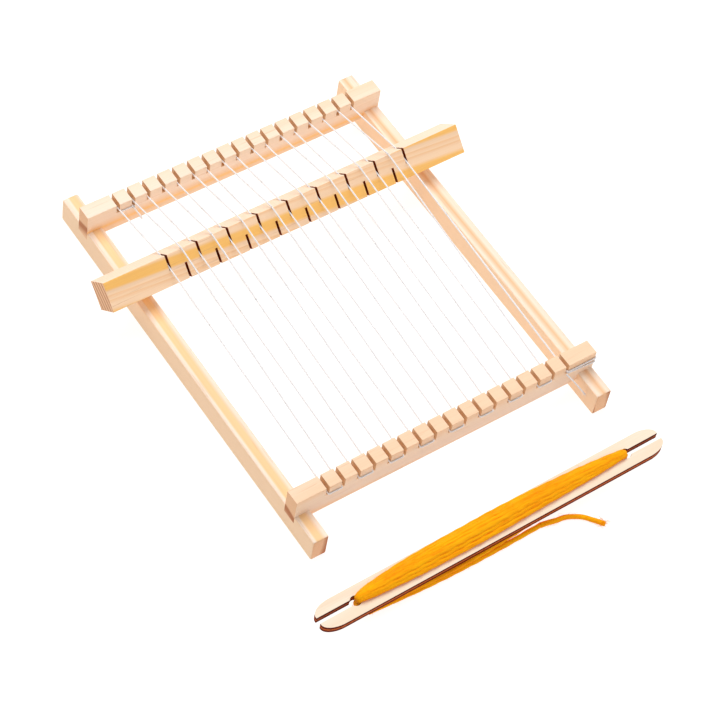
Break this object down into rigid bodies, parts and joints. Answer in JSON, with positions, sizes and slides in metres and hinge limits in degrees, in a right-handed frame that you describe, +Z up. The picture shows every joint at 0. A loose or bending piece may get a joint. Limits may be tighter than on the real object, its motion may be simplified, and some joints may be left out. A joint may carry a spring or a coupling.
{
  "type": "weaving loom",
  "caption": "Tabletop wooden weaving loom: notched beams hold a cotton warp, a slotted bar turns to change the shed, and a flat shuttle carries the weft yarn.",
  "frame": {"origin": "middle of the loom's frame, on the table top that its side rails rest on", "axes": "+X along the notched beams to the right, +Y along the side rails away from the weaver, +Z up"},
  "size_m": [0.2388, 0.3263, 0.043],
  "materials": {
    "pine_frame": "sanded bare pine",
    "pine_bar": "sanded bare pine with a strong grain band",
    "plywood": "laser-cut birch plywood with burnt edges",
    "cotton_thread": "twisted cotton thread",
    "orange_yarn": "soft fuzzy yarn",
    "screw_steel": "zinc-plated steel"
  },
  "bodies": {
    "frame": {"left_side_rail": "pine_frame", "right_side_rail": "pine_frame", "near_notched_beam": "pine_frame", "far_notched_beam": "pine_frame", "corner_screws": "screw_steel", "warp_near_turns": "cotton_thread", "warp_far_turns": "cotton_thread", "warp_start_knot": "cotton_thread", "warp_end_winding": "cotton_thread"},
    "warp": {"warp_near_spans": "cotton_thread", "warp_far_spans": "cotton_thread"},
    "heddle_bar": {"heddle_bar": "pine_bar"},
    "odd_threads": {"odd_threads_at_bar": "cotton_thread"},
    "even_threads": {"even_threads_at_bar": "cotton_thread"},
    "shuttle": {"shuttle_board": "plywood", "yarn_winding": "orange_yarn", "yarn_tail": "orange_yarn"}
  },
  "joints": [
    {"name": "heddle_slide", "type": "slide", "parent": "frame", "child": "warp", "axis": [0, 1, 0], "range_m": [-0.06, 0.012], "deforming": ["warp_near_spans", "warp_far_spans"]},
    {"name": "heddle_turn", "type": "hinge", "parent": "warp", "child": "heddle_bar", "pos_m": [0, 0.054, 0.02947], "axis": [-1, 0, 0], "range_deg": [0, 90]},
    {"name": "odd_lift", "type": "slide", "parent": "warp", "child": "odd_threads", "axis": [0, 0, 1], "range_m": [0, 0.0067], "deforming": ["odd_threads_at_bar"]},
    {"name": "even_drop", "type": "slide", "parent": "warp", "child": "even_threads", "axis": [0, 0, -1], "range_m": [0, 0.0062], "deforming": ["even_threads_at_bar"]},
    {"name": "shuttle_lift", "type": "slide", "parent": "frame", "child": "shuttle", "axis": [0, 0, 1], "range_m": [0, 0.12]}
  ],
  "couplings": [
    {"joint": "odd_lift", "follows": "heddle_turn", "m_per_rad": 0.004138},
    {"joint": "even_drop", "follows": "heddle_turn", "m_per_rad": 0.0038197}
  ]
}
